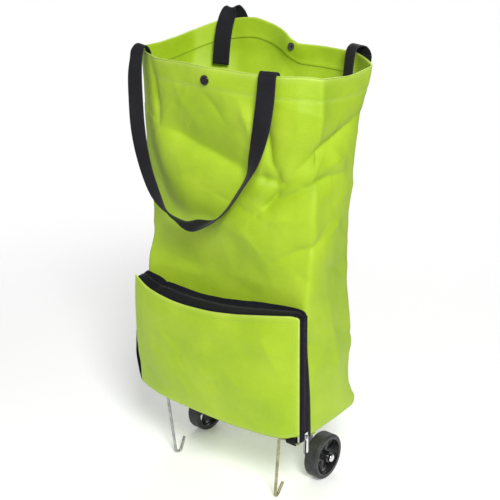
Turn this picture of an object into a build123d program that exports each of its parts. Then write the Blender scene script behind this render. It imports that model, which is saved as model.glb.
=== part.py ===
"""Foldable wheeled shopping bag with a zipped pouch, two carrying handles, two wire legs and two wheels.

Right-handed frame in millimetres: +X to the right of the bag, the pouch faces -Y, +Z up.
The origin is on the ground, below the middle of the whole bag.
"""
import os
from math import cos, radians, sin, tan

from build123d import *

# ---------------------------------------------------------------- driving dimensions
CLOTH = 1.2                 # modelled thickness of one fabric wall
FLOOR_Z = 134.0             # underside of the bag's floor
POUCH_HALF = 169.0          # half width of the zipped pouch
POUCH_TOP = 347.0           # top of the zipped pouch
POUCH_FRONT = -98.0         # front edge of the pouch's zip band
POUCH_BACK = -71.0          # rear edge of the zip band, where it is sewn to the bag
ZIP_Y = -83.2               # middle line of the zip
ZIP_HALF_GAP = 0.2          # half the gap between the two rows of teeth
TEETH_WIDTH = 1.8
TEETH_RISE = 2.2
TEETH_START_Z = 152.0       # lowest tooth; the slider parks below it
RIM_FRONT_Z = 702.0         # height of the mouth at the front
RIM_BACK_Z = 722.0          # height of the mouth at the back
RIM_REACH = 110.0           # distance from the middle to where those heights hold
HEM_DEPTH = 32.0            # depth of the sewn hem round the mouth

WEB_WIDTH = 28.0            # handle webbing
WEB_THICK = 2.0
SNAP_RADIUS = 7.5           # press stud that closes the mouth

WIRE_RADIUS = 2.5           # leg wire
LEG_PIVOT_Y = -78.0
LEG_PIVOT_Z = 119.0
LEG_TOP_X = {"left": 129.0, "right": 116.0}      # where each leg leaves its upper bend
LEG_FOOT_X = {"left": 111.0, "right": 106.0}     # where each leg stands on the ground
LEG_BEND = 11.0             # radius of the bend into the sleeve
FOOT_BEND = 6.0             # radius of the hook at the foot
HOOK_OPENING = {"left": 24.0, "right": 40.0}     # angle between each upright and its hook, in degrees
FOOT_LIFT = {"left": 1.2, "right": 0.08}          # takes up the slant of each upright
HOOK_RISE = {"left": 25.7, "right": 18.9}        # height of each hook's tip
SLEEVE_GAP = 0.3            # free play of the wire in its webbing sleeve

WHEEL_X = 130.0             # middle of each wheel
WHEEL_Y = 25.0
WHEEL_RADIUS = 39.0
WHEEL_WIDTH = 24.0
TYRE_DEPTH = 5.0
AXLE_RADIUS = 3.0
BORE_PLAY = 0.05            # radial running clearance of the wheel on its axle
SPOKES = 6
ARM_X = 98.0                # inner face of each wheel bracket's arm
ARM_THICK = 3.0
ARM_WIDTH = 24.0

WHEEL_Z = WHEEL_RADIUS
RIM_WALL = 3.0              # thickness of the wheel's outer ring under the tyre
WEB_PLATE = 6.0             # thickness of the spoked plate inside the wheel
HUB_RADIUS = 9.0
SPOKE_WIDTH = 7.0
SPOKE_PHASE = 38.0
FLANGE = 30.0               # length of the bracket's flange
AXLE_END = 148.0            # outer end of each axle
CAP_RADIUS = 6.5
CAP_LENGTH = 6.5
RIVET_X = 83.0
RIVET_STEP = 7.0            # rivets stand this far in front of and behind the axle line
RIVET_RADIUS = 2.0
BOARD_HALF = 158.0          # stiffening board inside the bag
BOARD_DEPTH = 116.0
BOARD_CORNER = 10.0
BOARD_THICK = 3.0
BOARD_Y = -3.0
BOARD_Z = FLOOR_Z + CLOTH + 0.2
HEM_THICK = 0.9
SLEEVE_THICK = 1.5
SLEEVE_WIDTH = 18.0
SLEEVE_CLEAR = 5.0          # end play of each sleeve along its wire
SLEEVE_TAIL = 42.0
SLIDER_Z = 144.0
SLIDER_LENGTH = 12.0
PULL_X = POUCH_HALF + 5.9
PULL_Z = 143.0
PULL_PIN = 0.7
PULL_LENGTH = 28.0
SNAP_X = 2.0
SNAP_FRONT_Y = -101.5       # outer face of the front wall at the press stud
SNAP_FRONT_Z = 683.0
SNAP_REAR_Y = 111.1         # outer face of the rear wall at the press stud
SNAP_REAR_Z = 702.0
SNAP_STEP = 3.0             # from the wall's outer face to the inner half of the stud
REAR_LEAN = 9.4             # outward lean of the rear wall at the press stud, degrees

FRONT_HINGE = (1, -0.065, -0.03)        # direction between the front handle's two ends
REAR_HINGE = (1, -0.015, 0)

# Each strap end has its route and the direction of its width at the hem and at the loop.
STRAP_ENDS = {
    "front_left": (
        [(-145, -64, 668), (-145, -64, 700), (-147, -69, 715), (-151, -78, 713), (-153.2, -82.2, 699)],
        (0.88, -0.47, 0), FRONT_HINGE),
    "front_right": (
        [(108, -83, 667), (108, -83, 697), (109, -88, 712), (112, -97, 708), (113, -99.6, 693)],
        (0.95, 0.32, 0), FRONT_HINGE),
    "rear_left": (
        [(-127, 83, 676), (-127, 88, 714), (-126, 96, 739), (-122, 106, 753.5), (-113, 113, 744),
         (-103, 115, 727), (-94, 116, 710), (-90.5, 116.5, 696)],
        (0.88, 0.47, 0), REAR_HINGE),
    "rear_right": (
        [(126, 82.5, 676), (126.5, 86.5, 712), (128, 91, 726), (131, 99.5, 732), (135, 108.5, 727),
         (136.5, 112.5, 714), (136.5, 113, 696)],
        (0.88, -0.47, 0), REAR_HINGE),
}

# Each handle loop has its route, from the left end to the right end, and its hinge direction.
STRAP_LOOPS = {
    "front": (
        [(-153.6, -83, 695), (-155, -86, 668), (-151, -89, 630), (-138, -96, 554), (-99, -102, 486),
         (-50, -103.5, 450), (-8, -104, 452), (28, -104, 476), (80, -106, 546), (104, -101, 623),
         (113.2, -100, 689)],
        FRONT_HINGE),
    "rear": (
        [(-90, 116.5, 691), (-87, 116, 650), (-77, 114, 590), (-55, 112, 525), (-20, 110.5, 472),
         (20, 110, 455), (60, 110.5, 470), (96, 111, 522), (118, 112, 580), (131, 112.8, 640),
         (136.5, 113, 691)],
        REAR_HINGE),
}

# Each row is height, half width, front corner y, front swell, back corner y, back swell.
BODY = [
    (FLOOR_Z, 169.0, -66.5, 3.0, 61.0, 5.0),
    (350.0, 165.0, -66.0, 3.5, 44.0, 26.0),
    (540.0, 166.0, -60.0, 33.0, 42.0, 46.0),
    (745.0, 178.0, -50.0, 48.0, 66.0, 52.0),
]

# Each row is height, half width, corner y and swell of the pouch's front panel.
POUCH = [
    (134.4, 168.0, POUCH_FRONT, -20.0),
    (205.0, 169.0, POUCH_FRONT, -26.5),
    (285.0, 169.0, POUCH_FRONT, -24.0),
    (345.4, 168.6, POUCH_FRONT, -13.0),
]
SIDE_SWELL = 1.0            # outward swell of each side panel
SHOULDER = 0.62             # where along the half width the swell keeps most of its depth
SHOULDER_SWELL = 0.80


# ---------------------------------------------------------------- helpers
def rim_plane():
    """Plane of the mouth, higher at the back than at the front."""
    slope = (RIM_BACK_Z - RIM_FRONT_Z) / (2 * RIM_REACH)
    middle = Vector(0, 0, (RIM_FRONT_Z + RIM_BACK_Z) / 2)
    return Plane(origin=middle, x_dir=(1, 0, 0), z_dir=(0, -slope, 1))


def below(plane, depth=900.0):
    """Large block of the given depth whose top face lies on the plane."""
    return plane * Box(600, 600, depth, align=(Align.CENTER, Align.CENTER, Align.MAX))


def swell_points(half, corner, swell, z):
    """Points of a wall that swells by the given amount between two corners."""
    near = half * SHOULDER
    rise = swell * SHOULDER_SWELL
    return [
        (-half, corner, z),
        (-near, corner + rise, z),
        (0, corner + swell, z),
        (near, corner + rise, z),
        (half, corner, z),
    ]


def wall_section(wall, row, inset, thick=CLOTH):
    """Closed outline of one wall of the bag at one height, mitred at both ends."""
    z, half, front, front_swell, back, back_swell = row
    outer_half = half - inset
    inner_half = outer_half - thick
    front_outer = front + inset
    back_outer = back - inset
    if wall == "front":
        outer = Spline(*swell_points(outer_half, front_outer, -front_swell, z))
        inner = Spline(*swell_points(inner_half, front_outer + thick, -front_swell, z))
    elif wall == "back":
        outer = Spline(*swell_points(outer_half, back_outer, back_swell, z))
        inner = Spline(*swell_points(inner_half, back_outer - thick, back_swell, z))
    else:
        side = 1 if wall == "right" else -1
        middle = (front + back) / 2
        outer = ThreePointArc(
            (side * outer_half, front_outer, z),
            (side * (outer_half + SIDE_SWELL), middle, z),
            (side * outer_half, back_outer, z),
        )
        inner = ThreePointArc(
            (side * inner_half, front_outer + thick, z),
            (side * (inner_half + SIDE_SWELL), middle, z),
            (side * inner_half, back_outer - thick, z),
        )
    ends = [Line(outer @ 1, inner @ 1), Line(inner @ 0, outer @ 0)]
    return make_face(Wire([outer.edge(), ends[0].edge(), inner.edge(), ends[1].edge()]))


def wall(name, inset=0.0, thick=CLOTH):
    """One wall of the bag, lofted from the floor to above the mouth."""
    return loft([wall_section(name, row, inset, thick) for row in BODY])


def ribbon(points, across, width=WEB_WIDTH, thick=WEB_THICK, steps=16):
    """Flat strap along a smooth line; across lists the direction of its width, evenly spaced."""
    path = Spline(*points)
    corners = [[], [], [], []]
    for i in range(steps + 1):
        t = i / steps
        along = path % t
        spot = t * (len(across) - 1)
        k = min(int(spot), len(across) - 2)
        side = Vector(across[k]) * (k + 1 - spot) + Vector(across[k + 1]) * (spot - k)
        side = (side - along * side.dot(along)).normalized()
        face = along.cross(side)
        for corner, (u, v) in zip(corners, ((-1, -1), (1, -1), (1, 1), (-1, 1))):
            corner.append((path @ t) + side * (u * width / 2) + face * (v * thick / 2))
    edges = [Spline(*corner).edge() for corner in corners]
    faces = [Face.make_surface_from_curves(edges[i], edges[(i + 1) % 4]) for i in range(4)]
    for end in (0, -1):
        faces.append(make_face(Polyline(*[corner[end] for corner in corners], close=True)).face())
    return Solid(Shell(faces))


def along_x(radius, length, x, y, z):
    """Round bar whose axis is along X and whose low end is at x."""
    start = Plane(origin=(x, y, z), z_dir=(1, 0, 0))
    return start * Cylinder(radius, length, align=(Align.CENTER, Align.CENTER, Align.MIN))


def along_y(radius, length, x, y, z):
    """Round bar whose axis is along Y and whose low end is at y."""
    start = Plane(origin=(x, y, z), z_dir=(0, 1, 0))
    return start * Cylinder(radius, length, align=(Align.CENTER, Align.CENTER, Align.MIN))


def mirrored(solid, side):
    """The solid as built on the right, or its mirror image on the left."""
    return solid if side == "right" else mirror(solid, about=Plane.YZ)


# ---------------------------------------------------------------- bag
def bag_wall(name):
    """One wall, cut off at the mouth."""
    return wall(name) & below(rim_plane())


def floor_outline(inset):
    """Plan of the bag's floor, drawn in by inset from its walls."""
    z, half, front, front_swell, back, back_swell = BODY[0]
    half = half - inset
    front_edge = Spline(*swell_points(half, front + inset, -front_swell, z))
    back_edge = Spline(*swell_points(half, back - inset, back_swell, z))
    ends = [Line(front_edge @ 1, back_edge @ 1), Line(back_edge @ 0, front_edge @ 0)]
    return make_face(Wire([front_edge.edge(), ends[0].edge(), back_edge.edge(), ends[1].edge()]))


def rivet_spots():
    """Plan positions of the four rivets that hold the wheel brackets."""
    return [(side * RIVET_X, WHEEL_Y + step) for side in (-1, 1) for step in (-RIVET_STEP, RIVET_STEP)]


def rivet_holes(solid):
    """Drill the rivet holes through a sheet."""
    for x, y in rivet_spots():
        solid -= Pos(x, y, FLOOR_Z) * Cylinder(RIVET_RADIUS + BORE_PLAY, 40)
    return solid


def floor_panel():
    """Cloth floor of the bag."""
    return rivet_holes(extrude(floor_outline(CLOTH + 0.5), CLOTH, dir=(0, 0, 1)))


def base_board():
    """Stiff board that lies on the cloth floor inside the bag."""
    board = extrude(RectangleRounded(2 * BOARD_HALF, BOARD_DEPTH, BOARD_CORNER), BOARD_THICK)
    return rivet_holes(Pos(0, BOARD_Y, BOARD_Z) * board)


def rim_hem():
    """Hem turned in and sewn round the inside of the mouth."""
    band = below(rim_plane(), HEM_DEPTH)
    sides = [wall(name, CLOTH + 0.1, HEM_THICK) & band for name in ("front", "back", "left", "right")]
    return Compound([side.solid() for side in sides])


# ---------------------------------------------------------------- pouch
def pouch_front_panel():
    """Swelling front panel of the zipped pouch, hinged along its bottom edge."""
    sections = []
    for z, half, corner, swell in POUCH:
        outer = Spline(*swell_points(half, corner, swell, z))
        inner = Spline(*swell_points(half - CLOTH, corner + CLOTH, swell, z))
        ends = [Line(outer @ 1, inner @ 1), Line(inner @ 0, outer @ 0)]
        sections.append(make_face(Wire([outer.edge(), ends[0].edge(), inner.edge(), ends[1].edge()])))
    return loft(sections)


def pouch_bottom():
    """Cloth gusset that closes the pouch below, from the bag to the front panel."""
    half = POUCH_HALF - 2.2
    z, _, corner, swell = POUCH[0]
    front_edge = Spline(*swell_points(half, corner + 1.8, swell, FLOOR_Z))
    rear = POUCH_BACK + 0.4
    sides = Polyline((half, corner + 1.8, FLOOR_Z), (half, rear, FLOOR_Z), (-half, rear, FLOOR_Z),
                     (-half, corner + 1.8, FLOOR_Z))
    return extrude(make_face(Wire([front_edge.edge(), *sides.edges()])), CLOTH, dir=(0, 0, 1))


def zip_frame(low_y, high_y, half, top, low_z, thick):
    """Band of constant thickness up one side of the pouch, over its top and down the other."""
    outer = Pos(0, (low_y + high_y) / 2, low_z) * Box(
        2 * half, high_y - low_y, top - low_z, align=(Align.CENTER, Align.CENTER, Align.MIN))
    inner = Pos(0, (low_y + high_y) / 2, low_z) * Box(
        2 * (half - thick), high_y - low_y, top - low_z - thick,
        align=(Align.CENTER, Align.CENTER, Align.MIN))
    return outer - inner


def zip_tape_rear():
    """Zip tape sewn to the bag."""
    edge = ZIP_Y + ZIP_HALF_GAP + TEETH_WIDTH
    return zip_frame(edge, POUCH_BACK, POUCH_HALF + 0.2, POUCH_TOP, FLOOR_Z + 1.0, CLOTH)


def zip_tape_front():
    """Zip tape sewn round the pouch's front panel, following its swollen top edge."""
    edge = ZIP_Y - ZIP_HALF_GAP - TEETH_WIDTH
    corner = POUCH[-1][2] + 1.4
    band = zip_frame(corner, edge, POUCH_HALF + 0.2, POUCH_TOP, FLOOR_Z + 1.0, CLOTH)
    half = POUCH_HALF - 1.0
    low = POUCH_TOP - CLOTH
    front_edge = Spline(*swell_points(half, corner, POUCH[-1][3], low))
    lip = make_face(Wire([front_edge.edge(), Line((half, corner, low), (-half, corner, low)).edge()]))
    return band + extrude(lip, CLOTH, dir=(0, 0, 1))


def zip_teeth(side):
    """One row of teeth, on the front tape for side -1 or the rear tape for side 1."""
    near = ZIP_Y + side * ZIP_HALF_GAP
    far = near + side * TEETH_WIDTH
    half = POUCH_HALF + 0.2 + TEETH_RISE
    return zip_frame(min(near, far), max(near, far), half, POUCH_TOP + TEETH_RISE, TEETH_START_Z, TEETH_RISE)


def zip_end_stops():
    """Two metal stops on the rear tape, one at each end of the zip."""
    stop = Pos(POUCH_HALF + 1.0, ZIP_Y + 3.6, FLOOR_Z + 2.4) * Box(1.4, 2.4, 2.6)
    return Compound([stop.solid(), mirror(stop, about=Plane.YZ).solid()])


def zip_slider():
    """Slider parked at the foot of the zip's right side, with the lugs and pin of its pull."""
    base = POUCH_HALF + 0.5
    body = Pos(base + 1.8, ZIP_Y, SLIDER_Z) * Box(3.6, 7.8, SLIDER_LENGTH)
    body = fillet(body.edges().filter_by(Axis.X), 1.5)
    body -= Pos(base + 1.3, ZIP_Y, SLIDER_Z) * Box(2.7, 5.4, SLIDER_LENGTH + 2)
    body -= Pos(base, ZIP_Y, SLIDER_Z) * Box(0.4, 5.4, SLIDER_LENGTH + 2)
    for step in (-1, 1):
        lug = Pos(PULL_X - 0.7, ZIP_Y + step * 1.75, PULL_Z) * Box(3.0, 1.0, 3.4)
        body += lug
    return body + along_y(PULL_PIN, 3.6, PULL_X, ZIP_Y - 1.8, PULL_Z)


def zip_pull():
    """Narrow metal pull that hangs from the slider's pin."""
    eye = along_y(PULL_PIN + 0.9, 1.8, PULL_X, ZIP_Y - 0.9, PULL_Z)
    low = PULL_Z - PULL_LENGTH
    stem = Pos(PULL_X, ZIP_Y, PULL_Z - 2.6) * Box(1.0, 1.8, 4.0)
    tab = Plane(origin=(PULL_X - 0.5, ZIP_Y, low + 12.0), x_dir=(0, 1, 0), z_dir=(1, 0, 0)) \
        * extrude(RectangleRounded(4.2, 24.0, 1.6), 1.0)
    pull = eye + stem + tab
    return pull - along_y(PULL_PIN + 0.2, 8.0, PULL_X, ZIP_Y - 4.0, PULL_Z)


# ---------------------------------------------------------------- handles and press stud
def strap_end(name):
    """Sewn end of a handle: up the inside of the hem and over the mouth."""
    points, first, last = STRAP_ENDS[name]
    return ribbon(points, [first, first, last, last])


def strap_loop(name):
    """Hanging loop of a handle, flat near the mouth and edge on at the bottom."""
    points, hinge = STRAP_LOOPS[name]
    edge_on = (0, 1, 0)
    turns = [hinge] * 3 + [edge_on] * 4 + [hinge] * 3
    return ribbon(points, turns, steps=36)


def disc(radius, thick, x, y, z, lean):
    """Round disc on a wall; lean tilts it back from the vertical, in degrees."""
    face = Plane(origin=(x, y, z), x_dir=(1, 0, 0), z_dir=(0, cos(radians(lean)), -sin(radians(lean))))
    return face * Cylinder(radius, thick, align=(Align.CENTER, Align.CENTER, Align.MIN))


def snap_front_cap():
    """Domed cap of the press stud, outside the front wall."""
    cap = disc(SNAP_RADIUS, 2.4, SNAP_X, SNAP_FRONT_Y - 0.2 - 2.4, SNAP_FRONT_Z, 0)
    return fillet(cap.edges().sort_by(Axis.Y)[0], 1.6)


def snap_front_socket():
    """Socket half of the press stud, inside the front wall."""
    ring = disc(SNAP_RADIUS - 1.5, 2.6, SNAP_X, SNAP_FRONT_Y + SNAP_STEP, SNAP_FRONT_Z, 0)
    return ring - disc(2.2, 6.0, SNAP_X, SNAP_FRONT_Y + SNAP_STEP + 0.8, SNAP_FRONT_Z, 0)


def snap_rear_cap():
    """Cap of the press stud outside the rear wall."""
    cap = disc(SNAP_RADIUS, 2.4, SNAP_X, SNAP_REAR_Y + 0.3, SNAP_REAR_Z, REAR_LEAN)
    return fillet(cap.edges().sort_by(Axis.Y)[-1], 1.6)


def snap_rear_stud():
    """Stud half of the press stud, inside the rear wall."""
    base = disc(SNAP_RADIUS - 1.5, 1.2, SNAP_X, SNAP_REAR_Y - SNAP_STEP - 1.2, SNAP_REAR_Z, REAR_LEAN)
    return base + disc(1.9, 2.4, SNAP_X, SNAP_REAR_Y - SNAP_STEP - 3.2, SNAP_REAR_Z + 0.4, REAR_LEAN)


# ---------------------------------------------------------------- wire legs
def leg(side):
    """Bent wire leg: level in its sleeve, down to the ground, then up and back as an open hook."""
    sign = 1 if side == "right" else -1
    top_x = LEG_TOP_X[side]
    foot_x = LEG_FOOT_X[side]
    rise = HOOK_RISE[side]
    opening = radians(HOOK_OPENING[side])
    corner_z = WIRE_RADIUS + FOOT_LIFT[side] - FOOT_BEND * (1 / tan(opening / 2) - 1)
    reach = (rise - corner_z) * tan(opening)
    path = FilletPolyline(
        (sign * (top_x + LEG_BEND + 2 * SLEEVE_CLEAR + SLEEVE_WIDTH), LEG_PIVOT_Y, LEG_PIVOT_Z),
        (sign * top_x, LEG_PIVOT_Y, LEG_PIVOT_Z),
        (sign * foot_x, LEG_PIVOT_Y, corner_z),
        (sign * foot_x, LEG_PIVOT_Y + reach, rise),
        radius=[LEG_BEND, FOOT_BEND],
    )
    return sweep(Plane(origin=path @ 0, z_dir=path % 0) * Circle(WIRE_RADIUS), path=path)


def leg_sleeve(side):
    """Loop of webbing round the level part of a leg, with its tail sewn under the floor."""
    start = LEG_TOP_X[side] + LEG_BEND + SLEEVE_CLEAR
    bore = WIRE_RADIUS + SLEEVE_GAP
    loop = along_x(bore + SLEEVE_THICK, SLEEVE_WIDTH, start, LEG_PIVOT_Y, LEG_PIVOT_Z)
    middle = start + SLEEVE_WIDTH / 2
    neck_low = LEG_PIVOT_Z + bore + SLEEVE_THICK / 2
    top = FLOOR_Z - 0.2
    neck = Pos(middle, LEG_PIVOT_Y, (neck_low + top) / 2) * Box(
        SLEEVE_WIDTH, 2 * SLEEVE_THICK, top - neck_low)
    tail = Pos(middle, LEG_PIVOT_Y - SLEEVE_THICK, top) * Box(
        SLEEVE_WIDTH, SLEEVE_TAIL, SLEEVE_THICK, align=(Align.CENTER, Align.MIN, Align.MAX))
    sleeve = loop + neck + tail
    sleeve -= along_x(bore, SLEEVE_WIDTH + 2, start - 1, LEG_PIVOT_Y, LEG_PIVOT_Z)
    return mirrored(sleeve, side)


# ---------------------------------------------------------------- wheels
def wheel_rim(side):
    """Moulded wheel with a thin web, spokes between open windows, and a long hub."""
    low = WHEEL_X - WHEEL_WIDTH / 2
    seat = WHEEL_RADIUS - TYRE_DEPTH
    rim = along_x(seat, WHEEL_WIDTH, low, WHEEL_Y, WHEEL_Z)
    recess = along_x(seat - RIM_WALL, WHEEL_WIDTH, low, WHEEL_Y, WHEEL_Z)
    web = along_x(seat - RIM_WALL, WEB_PLATE, WHEEL_X - WEB_PLATE / 2, WHEEL_Y, WHEEL_Z)
    web -= windows()
    hub = along_x(HUB_RADIUS, WHEEL_WIDTH + 2, low - 1, WHEEL_Y, WHEEL_Z)
    wheel = (rim - recess) + web + hub
    wheel -= along_x(AXLE_RADIUS + BORE_PLAY, WHEEL_WIDTH + 10, low - 5, WHEEL_Y, WHEEL_Z)
    return mirrored(wheel, side)


def windows():
    """Openings between the spokes, as one cutting body."""
    outer = WHEEL_RADIUS - TYRE_DEPTH - RIM_WALL - 1.5
    ring = along_x(outer, WEB_PLATE + 4, WHEEL_X - WEB_PLATE / 2 - 2, WHEEL_Y, WHEEL_Z)
    ring -= along_x(HUB_RADIUS + 2.5, WEB_PLATE + 6, WHEEL_X - WEB_PLATE / 2 - 3, WHEEL_Y, WHEEL_Z)
    for i in range(SPOKES):
        turn = Rot(SPOKE_PHASE + i * 360 / SPOKES, 0, 0)
        spoke = Box(WEB_PLATE + 8, SPOKE_WIDTH, 2 * WHEEL_RADIUS,
                    align=(Align.CENTER, Align.CENTER, Align.MIN))
        ring -= Pos(WHEEL_X, WHEEL_Y, WHEEL_Z) * turn * spoke
    return ring


def tyre(side):
    """Soft tyre with rounded shoulders, pushed over the rim."""
    low = WHEEL_X - WHEEL_WIDTH / 2
    band = along_x(WHEEL_RADIUS, WHEEL_WIDTH, low, WHEEL_Y, WHEEL_Z)
    band = fillet(band.edges().filter_by(GeomType.CIRCLE), 3.0)
    band -= along_x(WHEEL_RADIUS - TYRE_DEPTH, WHEEL_WIDTH + 2, low - 1, WHEEL_Y, WHEEL_Z)
    return mirrored(band, side)


def wheel_bracket(side):
    """Bent steel strip: a flange riveted under the floor and an arm down to the axle."""
    top = FLOOR_Z - 0.2
    outer = ARM_X + ARM_THICK
    arm = Pos(ARM_X, WHEEL_Y, WHEEL_Z) * Box(
        ARM_THICK, ARM_WIDTH, top - WHEEL_Z, align=(Align.MIN, Align.CENTER, Align.MIN))
    arm += along_x(ARM_WIDTH / 2, ARM_THICK, ARM_X, WHEEL_Y, WHEEL_Z)
    flange = Pos(outer, WHEEL_Y, top) * Box(
        FLANGE, ARM_WIDTH, ARM_THICK, align=(Align.MAX, Align.CENTER, Align.MAX))
    bracket = arm + flange
    bracket -= along_x(AXLE_RADIUS, ARM_THICK + 4, ARM_X - 2, WHEEL_Y, WHEEL_Z)
    return mirrored(rivet_holes(bracket), side)


def stub_axle(side):
    """Headed steel pin that carries one wheel."""
    head = along_x(HUB_RADIUS - 2.5, 2.5, ARM_X - 2.5, WHEEL_Y, WHEEL_Z)
    shank = along_x(AXLE_RADIUS, AXLE_END - ARM_X, ARM_X, WHEEL_Y, WHEEL_Z)
    return mirrored(head + shank, side)


def axle_spacer(side):
    """Spacer tube between the bracket's arm and the wheel's hub."""
    start = ARM_X + ARM_THICK + 0.1
    length = WHEEL_X - WHEEL_WIDTH / 2 - 1 - 0.3 - start
    ring = along_x(HUB_RADIUS - 2, length, start, WHEEL_Y, WHEEL_Z)
    ring -= along_x(AXLE_RADIUS + BORE_PLAY, length + 2, start - 1, WHEEL_Y, WHEEL_Z)
    return mirrored(ring, side)


def axle_cap(side):
    """Domed push-on cap that keeps the wheel on its axle."""
    start = WHEEL_X + WHEEL_WIDTH / 2 + 1 + 0.4
    cap = along_x(CAP_RADIUS, CAP_LENGTH, start, WHEEL_Y, WHEEL_Z)
    cap = fillet(cap.edges().sort_by(Axis.X)[-1], 2.6)
    cap -= along_x(AXLE_RADIUS, AXLE_END - start, start, WHEEL_Y, WHEEL_Z)
    return mirrored(cap, side)


def bracket_rivets():
    """Four rivets through the brackets, the cloth floor and the board."""
    low = FLOOR_Z - 0.2 - ARM_THICK
    high = BOARD_Z + BOARD_THICK
    solids = []
    for x, y in rivet_spots():
        pin = Pos(x, y, low) * Cylinder(
            RIVET_RADIUS, high - low, align=(Align.CENTER, Align.CENTER, Align.MIN))
        pin += Pos(x, y, low - 1.4) * Cylinder(4.0, 1.4, align=(Align.CENTER, Align.CENTER, Align.MIN))
        pin += Pos(x, y, high) * Cylinder(4.0, 1.4, align=(Align.CENTER, Align.CENTER, Align.MIN))
        solids.append(pin.solid())
    return Compound(solids)


# ---------------------------------------------------------------- write
def sub_parts():
    """Every sub-part by name."""
    parts = {
        "front_panel": bag_wall("front"),
        "back_panel": bag_wall("back"),
        "left_side_panel": bag_wall("left"),
        "right_side_panel": bag_wall("right"),
        "floor_panel": floor_panel(),
        "base_board": base_board(),
        "rim_hem": rim_hem(),
        "pouch_front_panel": pouch_front_panel(),
        "pouch_bottom": pouch_bottom(),
        "zip_tape_rear": zip_tape_rear(),
        "zip_tape_front": zip_tape_front(),
        "zip_teeth_rear": zip_teeth(1),
        "zip_teeth_front": zip_teeth(-1),
        "zip_end_stops": zip_end_stops(),
        "zip_slider": zip_slider(),
        "zip_pull": zip_pull(),
        "front_handle": strap_loop("front"),
        "rear_handle": strap_loop("rear"),
        "snap_front_cap": snap_front_cap(),
        "snap_front_socket": snap_front_socket(),
        "snap_rear_cap": snap_rear_cap(),
        "snap_rear_stud": snap_rear_stud(),
        "bracket_rivets": bracket_rivets(),
    }
    for name in STRAP_ENDS:
        parts[name + "_strap_end"] = strap_end(name)
    for side in ("left", "right"):
        parts[side + "_leg"] = leg(side)
        parts[side + "_leg_sleeve"] = leg_sleeve(side)
        parts[side + "_wheel_rim"] = wheel_rim(side)
        parts[side + "_tyre"] = tyre(side)
        parts[side + "_wheel_bracket"] = wheel_bracket(side)
        parts[side + "_stub_axle"] = stub_axle(side)
        parts[side + "_axle_spacer"] = axle_spacer(side)
        parts[side + "_axle_cap"] = axle_cap(side)
    return parts


os.makedirs("parts", exist_ok=True)
for part_name, shape in sub_parts().items():
    export_step(shape, os.path.join("parts", part_name + ".step"))
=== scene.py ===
"""Looks of the foldable wheeled shopping bag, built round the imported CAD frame. Metres, row frame."""

import math

import bpy
import numpy as np
from mathutils import Matrix, Vector, noise
from mathutils.bvhtree import BVHTree


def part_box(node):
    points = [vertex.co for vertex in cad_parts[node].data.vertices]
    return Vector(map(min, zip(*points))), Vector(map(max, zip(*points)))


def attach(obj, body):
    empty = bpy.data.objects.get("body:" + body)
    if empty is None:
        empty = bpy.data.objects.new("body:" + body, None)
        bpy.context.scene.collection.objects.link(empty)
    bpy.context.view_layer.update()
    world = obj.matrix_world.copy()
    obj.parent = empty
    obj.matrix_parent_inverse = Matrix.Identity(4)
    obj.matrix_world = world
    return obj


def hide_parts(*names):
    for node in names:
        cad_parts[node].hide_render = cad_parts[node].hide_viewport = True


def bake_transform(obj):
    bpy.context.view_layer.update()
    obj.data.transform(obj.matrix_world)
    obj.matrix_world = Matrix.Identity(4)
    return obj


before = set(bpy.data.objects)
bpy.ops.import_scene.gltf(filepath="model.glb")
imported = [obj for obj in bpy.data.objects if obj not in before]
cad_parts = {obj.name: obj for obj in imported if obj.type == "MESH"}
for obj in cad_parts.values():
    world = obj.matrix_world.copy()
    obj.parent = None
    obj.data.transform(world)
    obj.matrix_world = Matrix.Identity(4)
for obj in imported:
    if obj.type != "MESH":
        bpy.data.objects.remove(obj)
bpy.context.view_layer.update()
MM = 0.001
SHELL_THICK, HEM_THICK, PANEL_THICK, BOTTOM_THICK, TAPE_THICK = 1.2, 0.7, 1.1, 1.0, 0.9
STRAP_WIDTH, STRAP_THICK, SLEEVE_THICK = 28.0, 1.7, 1.3


# ---- small helpers
def curve(rows):
    """Smooth function through (position, value) rows that never overshoots them."""
    at, value = np.array(rows, float).T
    step = np.diff(at)
    slope = np.diff(value) / step
    tangent = np.zeros(len(at))
    both = slope[:-1] * slope[1:]
    tangent[1:-1] = np.where(both > 0, 2 * both / (slope[:-1] + slope[1:] + 1e-12), 0)
    tangent[0], tangent[-1] = slope[0], slope[-1]

    def read(x):
        x = np.clip(np.asarray(x, float), at[0], at[-1])
        i = np.clip(np.searchsorted(at, x) - 1, 0, len(step) - 1)
        t = (x - at[i]) / step[i]
        return (
            (2 * t**3 - 3 * t**2 + 1) * value[i]
            + (t**3 - 2 * t**2 + t) * step[i] * tangent[i]
            + (3 * t**2 - 2 * t**3) * value[i + 1]
            + (t**3 - t**2) * step[i] * tangent[i + 1]
        )

    return read


def unit(v):
    v = np.asarray(v, float)
    return v / np.maximum(np.linalg.norm(v, axis=-1, keepdims=True), 1e-12)


def smooth_step(x, low, high):
    t = np.clip((np.asarray(x, float) - low) / (high - low), 0, 1)
    return t * t * (3 - 2 * t)


def link(name, data):
    """New object in the scene for the given data."""
    obj = bpy.data.objects.new(name, data)
    bpy.context.scene.collection.objects.link(obj)
    return obj


def mesh_piece(name, points_mm, faces, uv=None, wear=None):
    """New mesh object from points in millimetres, with UVs in metres for each point."""
    data = bpy.data.meshes.new(name)
    data.from_pydata([tuple(p) for p in np.asarray(points_mm) * MM], [], [list(f) for f in faces])
    data.validate()
    data.update()
    data.shade_smooth()
    if uv is not None:
        layer = data.uv_layers.new(name="Cloth")
        corner = np.zeros(len(data.loops), int)
        data.loops.foreach_get("vertex_index", corner)
        layer.data.foreach_set("uv", (np.asarray(uv)[corner] * MM).astype(np.float32).ravel())
    if wear is not None:
        rubbed = data.attributes.new("wear", "FLOAT", "POINT")
        rubbed.data.foreach_set("value", np.asarray(wear, np.float32))
    return link(name, data)


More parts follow.
